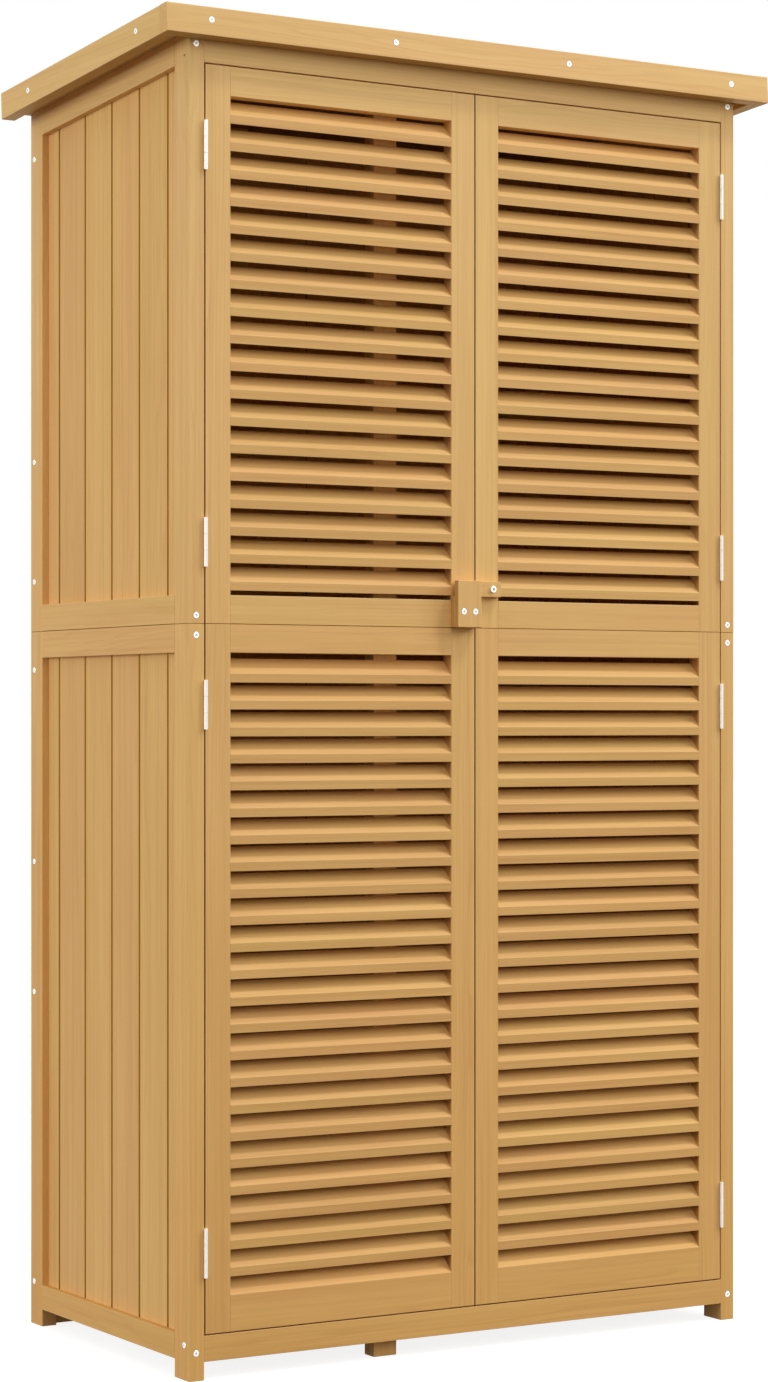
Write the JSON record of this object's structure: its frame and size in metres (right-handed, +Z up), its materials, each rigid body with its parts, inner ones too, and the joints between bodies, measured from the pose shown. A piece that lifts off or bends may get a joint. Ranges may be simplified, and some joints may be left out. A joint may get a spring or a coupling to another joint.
{
  "type": "garden storage cabinet",
  "caption": "Tall fir cabinet of stacked modules under a pent roof, with louvred double doors, a turning wooden latch, framed board sides and shelves beside a tall space.",
  "frame": {"origin": "on the ground, in the middle of the cabinet's bounding box", "axes": "+X to the right along the front, +Y from the front to the rear, +Z up"},
  "size_m": [0.8678, 0.467, 1.6],
  "materials": {
    "fir_frame": "clear impregnated fir, planed",
    "fir_slats": "clear impregnated fir, planed",
    "fir_boards": "clear impregnated fir, matched boards",
    "roof_felt": "mineral bitumen felt, matt",
    "zinc_steel": "zinc-plated steel"
  },
  "bodies": {
    "cabinet": {"back_rails": "fir_frame", "back_stiles": "fir_frame", "door_stop_battens": "fir_frame", "fascia_screws": "zinc_steel", "floor_bearers": "fir_frame", "floor_boards": "fir_boards", "frame_screws": "zinc_steel", "front_bottom_rail": "fir_frame", "front_fascia": "fir_frame", "front_top_rail": "fir_frame", "left_fascia": "fir_frame", "left_front_lower_post": "fir_frame", "left_front_upper_post": "fir_frame", "left_lower_side_boards": "fir_boards", "left_lower_side_rails": "fir_frame", "left_rear_lower_post": "fir_frame", "left_rear_upper_post": "fir_frame", "left_upper_side_boards": "fir_boards", "left_upper_side_rails": "fir_frame", "lower_back_boards": "fir_boards", "lower_divider_posts": "fir_frame", "post_hinge_leaves": "zinc_steel", "right_fascia": "fir_frame", "right_front_lower_post": "fir_frame", "right_front_upper_post": "fir_frame", "right_lower_side_boards": "fir_boards", "right_lower_side_rails": "fir_frame", "right_rear_lower_post": "fir_frame", "right_rear_upper_post": "fir_frame", "right_upper_side_boards": "fir_boards", "right_upper_side_rails": "fir_frame", "roof_boards": "fir_boards", "roof_felt": "roof_felt", "shelf_bearers": "fir_frame", "shelf_boards": "fir_boards", "upper_back_boards": "fir_boards", "upper_divider_posts": "fir_frame"},
    "left_door": {"catch_block": "fir_frame", "catch_plate": "fir_frame", "catch_screws": "zinc_steel", "left_door_battens": "fir_frame", "left_door_hinge_leaves": "zinc_steel", "left_lower_door_rails": "fir_frame", "left_lower_louvres": "fir_slats", "left_lower_stiles": "fir_frame", "left_upper_door_rails": "fir_frame", "left_upper_louvres": "fir_slats", "left_upper_stiles": "fir_frame"},
    "right_door": {"latch_pivot_screw": "zinc_steel", "right_door_battens": "fir_frame", "right_door_hinge_leaves": "zinc_steel", "right_lower_door_rails": "fir_frame", "right_lower_louvres": "fir_slats", "right_lower_stiles": "fir_frame", "right_upper_door_rails": "fir_frame", "right_upper_louvres": "fir_slats", "right_upper_stiles": "fir_frame"},
    "latch_bar": {"latch_bar": "fir_frame"}
  },
  "joints": [
    {"name": "left_door_hinge", "type": "hinge", "parent": "cabinet", "child": "left_door", "pos_m": [-0.3732, -0.214, 0.795], "axis": [0, 0, -1], "range_deg": [0, 180]},
    {"name": "right_door_hinge", "type": "hinge", "parent": "cabinet", "child": "right_door", "pos_m": [0.3732, -0.214, 0.795], "axis": [0, 0, 1], "range_deg": [0, 180]},
    {"name": "latch_pivot", "type": "hinge", "parent": "right_door", "child": "latch_bar", "pos_m": [0.0205, -0.2158, 0.9315], "axis": [0, 1, 0], "range_deg": [0, 270]}
  ]
}
